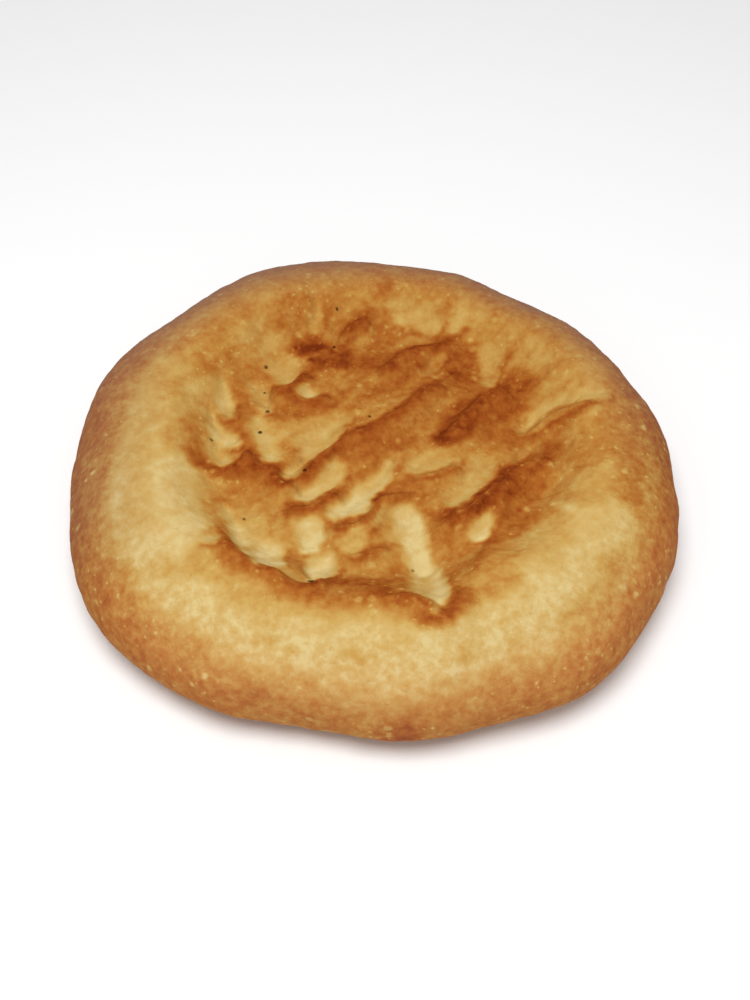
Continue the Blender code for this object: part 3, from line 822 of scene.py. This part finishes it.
def browning_and_painted_light(loaf):
    """Paints the browning, with its painted highlights and shade, where each point shows, so that raised
    crests keep their own shades.
    """
    points = points_of(loaf)
    level = values(loaf, "level")
    turned_radius = values(loaf, "turned_radius")
    drawn = wander(points, *PAINT_SWAY)
    places = seen_places(np.column_stack([drawn, points[:, 2]]), level)
    tone = browning_and_light_tone(points, places, turned_radius)
    dish = smooth((92 - np.hypot(places[:, 0], places[:, 1])) / 12)
    tone += STREAK_STRENGTH * dish * streaks(places)
    under = smooth((MIDDLE_HEIGHT - points[:, 2]) / 6)
    tone += (underside_tone(points) - tone) * smooth((3 - points[:, 2]) / 6) * under
    # painted shade in and round each prick hole
    hole_shade = np.zeros(len(points))
    seen = seen_places(points, level)
    for x, y, radius, dark in PRICKS:
        away = np.linalg.norm(seen - (x, y), axis=1)
        hole_shade = np.maximum(hole_shade, (1 - under) * dark * smooth(HOLE_SHADE_REACH - away / radius))
    keep(loaf, "browning_and_painted_light", np.clip(tone, 0, 1))
    keep(loaf, "hole_shade", hole_shade)
    keep(loaf, "grazing_sheen", grazing_sheen(points, turned_radius))
    keep(loaf, "blush_and_front_light", blush_and_front_light(points, turned_radius))
    keep(loaf, "outer", rising(turned_radius, *OUTER_RISE))


def linear(shade):
    """A screen colour of 0 to 255 as the light values that a shader takes."""
    lights = [c / 255 / 12.92 if c / 255 <= 0.04045 else ((c / 255 + 0.055) / 1.055) ** 2.4 for c in shade]
    return (*lights, 1.0)


def node(tree, kind, **inputs):
    """Adds a shader node; an input is a number, a colour or another node's output."""
    made = tree.nodes.new("ShaderNode" + kind)
    for name, value in inputs.items():
        socket = made.inputs[name.replace("_", " ")]
        if isinstance(value, bpy.types.NodeSocket):
            tree.links.new(value, socket)
        else:
            socket.default_value = value
    return made


def math_of(tree, operation, *terms):
    """The output of a Math node with these numbers or outputs as its terms."""
    made = tree.nodes.new("ShaderNodeMath")
    made.operation = operation
    for socket, term in zip(made.inputs, terms):
        if isinstance(term, bpy.types.NodeSocket):
            tree.links.new(term, socket)
        else:
            socket.default_value = term
    return made.outputs[0]


def mixed(tree, share, colour, shade):
    """The colour output with a share of a plain shade mixed in."""
    made = tree.nodes.new("ShaderNodeMix")
    made.data_type = "RGBA"
    share_socket, from_socket, to_socket = (made.inputs[i] for i in (0, 6, 7))
    tree.links.new(share, share_socket)
    tree.links.new(colour, from_socket)
    to_socket.default_value = linear(shade)
    return made.outputs[2]


def faded(tree, value, full, gone):
    """1 where the value is at full, 0 where it is at gone, smooth between."""
    made = node(tree, "MapRange", Value=value, From_Min=gone, From_Max=full)
    made.interpolation_type = "SMOOTHSTEP"
    return made.outputs["Result"]


def dots(tree, place, scale, share, size, soft):
    """A mask of small round dots: one in some of the cells of a Voronoi pattern."""
    cells = node(tree, "TexVoronoi", Vector=place, Scale=scale)
    choice = node(tree, "SeparateColor", Color=cells.outputs["Color"])
    chosen = math_of(tree, "LESS_THAN", choice.outputs["Red"], share)
    spread = math_of(tree, "MULTIPLY_ADD", choice.outputs["Green"], size * 0.6, size * 0.5)
    inside = math_of(tree, "SUBTRACT", spread, cells.outputs["Distance"])
    return math_of(tree, "MULTIPLY", chosen, faded(tree, inside, soft, 0.0))


# Patterns of the crust: scale per metre, detail and roughness of the noise
BROAD_PATTERN = (70.0, 2.0, 0.5)
BLOTCH_PATTERN = (150.0, 3.0, 0.6)
MOTTLE_PATTERN = (300.0, 5.0, 0.65)
GRAIN_PATTERN = (900.0, 3.0, 0.6)
SKIN_SCALE = 400.0

# Dots on the crust: cells per metre, share of the cells that hold a dot, and a dot's size and soft edge
# as shares of a cell
LARGE_BLISTERS = (190.0, 0.34, 0.40, 0.30)
SMALL_BLISTERS = (330.0, 0.42, 0.36, 0.26)
PORES = (330.0, 0.16, 0.14, 0.08)
STIR_SCALE = 320.0
STIR = 0.0022

# What each pattern adds to the browning; BROWN_START to BROWN_FULL is where the crust counts as brown
BROWN_START = 0.15
BROWN_FULL = 0.5
TONE_SHIFT = -0.11
BROAD_TONE = 0.20
MOTTLE_TONE = 0.44
BLOTCH_TONE = 0.30
OUTER_TONE = 0.6
CELL_TONE = 0.10
BLISTER_TONE = -0.24
OUTER_BLISTER_TONE = -0.14
PORE_TONE = 0.10

# What each pattern adds to the height of the bumps, and how many metres a height of 1 stands for
MOTTLE_BUMP = 0.45
GRAIN_BUMP = 0.12
BLISTER_BUMP = 0.25
CELL_BUMP = -0.18
PORE_BUMP = -0.12
BUMP_HEIGHT = 0.0006

CRUST_SHADES = (
    # browning, colour
    (0.00, (200, 178, 122)),
    (0.10, (192, 162, 100)),
    (0.22, (184, 147, 79)),
    (0.40, (173, 122, 56)),
    (0.60, (159, 95, 36)),
    (0.80, (141, 70, 23)),
    (1.00, (108, 42, 13)),
)
# the grey of the painted sheen of grazing reflection
GRAZING_SHEEN_SHADE = (132, 101, 86)
# the flush, with painted light from the front
BLUSH_AND_LIGHT_SHADE = (226, 146, 100)
BLUSH_AND_LIGHT_SHARE = 0.15
# the painted shade in the prick holes
HOLE_SHADE = (48, 38, 19)
SHEEN_TINT = (1.0, 0.80, 0.52, 1.0)


def painted(tree, name):
    """The numbers that one of the crust's own attributes holds."""
    found = node(tree, "Attribute")
    found.attribute_name = name
    return found.outputs["Fac"]


def noise_of(tree, place, scale, detail, roughness):
    pattern = node(tree, "TexNoise", Vector=place, Scale=scale, Detail=detail, Roughness=roughness)
    return pattern.outputs["Fac"]


def blister_dots(tree, place):
    """A mask of blisters of two sizes, stirred so that none of them is quite round."""
    stirred = node(tree, "TexNoise", Vector=place, Scale=STIR_SCALE, Detail=1.0)
    uneven = tree.nodes.new("ShaderNodeVectorMath")
    uneven.operation = "MULTIPLY_ADD"
    tree.links.new(stirred.outputs["Color"], uneven.inputs[0])
    uneven.inputs[1].default_value = (STIR, STIR, STIR)
    tree.links.new(place, uneven.inputs[2])
    large = dots(tree, uneven.outputs["Vector"], *LARGE_BLISTERS)
    small = dots(tree, uneven.outputs["Vector"], *SMALL_BLISTERS)
    return math_of(tree, "MAXIMUM", large, small)


def crust_patterns(tree, place, on_brown):
    """The patterns that both colour the crust and raise it."""
    skin = node(tree, "TexVoronoi", Vector=place, Scale=SKIN_SCALE).outputs["Distance"]
    return {
        "mottle": noise_of(tree, place, *MOTTLE_PATTERN),
        "blisters": blister_dots(tree, place),
        "cells": math_of(tree, "MULTIPLY", skin, on_brown),
        "pores": dots(tree, place, *PORES),
    }


def crust_tone(tree, place, patterns, on_brown):
    """The painted browning, with its painted highlights and shade, made uneven by the patterns, and most of
    all on brown crust.
    """
    outer = painted(tree, "outer")
    broad = noise_of(tree, place, *BROAD_PATTERN)
    blotch = noise_of(tree, place, *BLOTCH_PATTERN)
    tone = math_of(tree, "MULTIPLY_ADD", broad, BROAD_TONE, painted(tree, "browning_and_painted_light"))
    tone = math_of(tree, "ADD", tone, TONE_SHIFT)
    patchy = math_of(tree, "MULTIPLY_ADD", patterns["mottle"], MOTTLE_TONE, -MOTTLE_TONE / 2)
    patchy = math_of(tree, "MULTIPLY_ADD", blotch, BLOTCH_TONE, patchy)
    patchy = math_of(tree, "SUBTRACT", patchy, BLOTCH_TONE / 2)
    strength = math_of(tree, "MULTIPLY_ADD", on_brown, 0.5, 0.5)
    strength = math_of(tree, "MULTIPLY_ADD", outer, OUTER_TONE, strength)
    tone = math_of(tree, "MULTIPLY_ADD", patchy, strength, tone)
    tone = math_of(tree, "MULTIPLY_ADD", patterns["cells"], CELL_TONE, tone)
    lighter = math_of(tree, "MULTIPLY", patterns["blisters"], on_brown)
    tone = math_of(tree, "MULTIPLY_ADD", lighter, BLISTER_TONE, tone)
    lighter = math_of(tree, "MULTIPLY", lighter, outer)
    tone = math_of(tree, "MULTIPLY_ADD", lighter, OUTER_BLISTER_TONE, tone)
    return math_of(tree, "MULTIPLY_ADD", patterns["pores"], PORE_TONE, tone)


def crust_colour(tree, tone):
    """The shade of a browning, with the blush and painted front light, the painted grazing sheen and the
    painted shade of the prick holes mixed in.
    """
    ramp = node(tree, "ValToRGB", Fac=tone)
    shades = ramp.color_ramp
    shades.elements[0].position = CRUST_SHADES[0][0]
    shades.elements[1].position = CRUST_SHADES[-1][0]
    for position, _ in CRUST_SHADES[1:-1]:
        shades.elements.new(position)
    for element, (_, shade) in zip(shades.elements, CRUST_SHADES):
        element.color = linear(shade)
    # the flush, with painted light from the front
    lit_blush_mix = math_of(tree, "MULTIPLY", painted(tree, "blush_and_front_light"), BLUSH_AND_LIGHT_SHARE)
    colour = mixed(tree, lit_blush_mix, ramp.outputs["Color"], BLUSH_AND_LIGHT_SHADE)
    # the painted sheen of grazing reflection
    colour = mixed(tree, painted(tree, "grazing_sheen"), colour, GRAZING_SHEEN_SHADE)
    # the painted shade in the prick holes
    return mixed(tree, painted(tree, "hole_shade"), colour, HOLE_SHADE)


def crust_bumps(tree, place, patterns):
    """The crust's normal with the patterns and a fine grain raised from it."""
    grain = noise_of(tree, place, *GRAIN_PATTERN)
    height = math_of(tree, "MULTIPLY", patterns["mottle"], MOTTLE_BUMP)
    height = math_of(tree, "MULTIPLY_ADD", grain, GRAIN_BUMP, height)
    height = math_of(tree, "MULTIPLY_ADD", patterns["blisters"], BLISTER_BUMP, height)
    height = math_of(tree, "MULTIPLY_ADD", patterns["cells"], CELL_BUMP, height)
    height = math_of(tree, "MULTIPLY_ADD", patterns["pores"], PORE_BUMP, height)
    return node(tree, "Bump", Height=height, Strength=1.0, Distance=BUMP_HEIGHT).outputs["Normal"]


def crust_material():
    material = bpy.data.materials.new("baked_crust")
    material.use_nodes = True
    tree = material.node_tree
    surface = tree.nodes["Principled BSDF"]
    place = node(tree, "TexCoord").outputs["Object"]
    on_brown = faded(tree, painted(tree, "browning_and_painted_light"), BROWN_FULL, BROWN_START)
    patterns = crust_patterns(tree, place, on_brown)
    colour = crust_colour(tree, crust_tone(tree, place, patterns, on_brown))
    tree.links.new(colour, surface.inputs["Base Color"])
    tree.links.new(crust_bumps(tree, place, patterns), surface.inputs["Normal"])
    surface.inputs["Roughness"].default_value = 0.65
    surface.inputs["IOR"].default_value = 1.08
    surface.inputs["Specular IOR Level"].default_value = 0.5
    surface.inputs["Specular Tint"].default_value = SHEEN_TINT
    return material


def finish_place(piece):
    """Centres the outline on the frame's origin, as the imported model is."""
    points = points_of(piece)
    middle = (points.max(axis=0) + points.min(axis=0)) / 2 * MM
    piece.location = (-middle[0], -middle[1], 0)
    only(piece)
    bpy.ops.object.transform_apply(location=True, rotation=True, scale=True)


def make_bread():
    noise.seed_set(NOISE_SEED)
    loaf = turned_loaf()
    turned = points_of(loaf)
    turned_radius = np.where(turned[:, 2] < WIDEST_HEIGHT, RADIUS, np.hypot(turned[:, 0], turned[:, 1]))
    pull_out_of_round(loaf)
    flatten_underside(loaf)
    finish_place(loaf)
    keep(loaf, "level", points_of(loaf)[:, 2] - drawn_lower(turned_radius))
    keep(loaf, "turned_radius", turned_radius)
    pull_dish_up(loaf)
    wrinkle(loaf)
    prick(loaf)
    browning_and_painted_light(loaf)
    roughen(loaf)
    only(loaf)
    bpy.ops.object.shade_smooth()
    for spare in ("level", "turned_radius"):
        loaf.data.attributes.remove(loaf.data.attributes[spare])
    loaf.data.materials.append(crust_material())
    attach(loaf, "root")
    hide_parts("flatbread")


def plain_material(name, colour, roughness):
    material = bpy.data.materials.new(name)
    material.use_nodes = True
    surface = material.node_tree.nodes["Principled BSDF"]
    surface.inputs["Base Color"].default_value = (*colour, 1.0)
    surface.inputs["Roughness"].default_value = roughness
    return material


def make_floor():
    """A wide floor a little under the bread, so that the two don't share a plane."""
    bpy.ops.object.select_all(action="DESELECT")
    bpy.ops.mesh.primitive_plane_add(size=FLOOR_SIZE, location=(0, 0, -FLOOR_GAP))
    floor = bpy.context.active_object
    floor.name = "floor"
    floor.data.materials.append(plain_material("pale_floor", FLOOR_COLOUR, 0.9))


def area_light(name, place, aim, size, power):
    bpy.ops.object.light_add(type="AREA", location=place)
    light = bpy.context.active_object
    light.name = name
    light.data.shape = "DISK"
    light.data.size = size
    light.data.energy = power
    light.rotation_euler = (Vector(aim) - Vector(place)).to_track_quat("-Z", "Y").to_euler()


def make_lights():
    world = bpy.data.worlds.new("studio")
    bpy.context.scene.world = world
    world.use_nodes = True
    background = world.node_tree.nodes["Background"]
    background.inputs["Color"].default_value = (1, 1, 1, 1)
    background.inputs["Strength"].default_value = SKY_STRENGTH
    area_light("overhead", LIGHT_PLACE, (0, 0, 0), LIGHT_SIZE, LIGHT_POWER)


def make_camera():
    bpy.ops.object.camera_add(location=CAMERA_PLACE)
    camera = bpy.context.active_object
    camera.name = "camera"
    camera.rotation_euler = (Vector(CAMERA_AIM) - Vector(CAMERA_PLACE)).to_track_quat("-Z", "Y").to_euler()
    camera.data.lens = CAMERA_LENS
    camera.data.sensor_width = CAMERA_SENSOR
    camera.data.clip_start = 0.01
    bpy.context.scene.camera = camera


make_bread()
make_floor()
make_lights()
make_camera()
bpy.context.scene.view_settings.view_transform = "Standard"
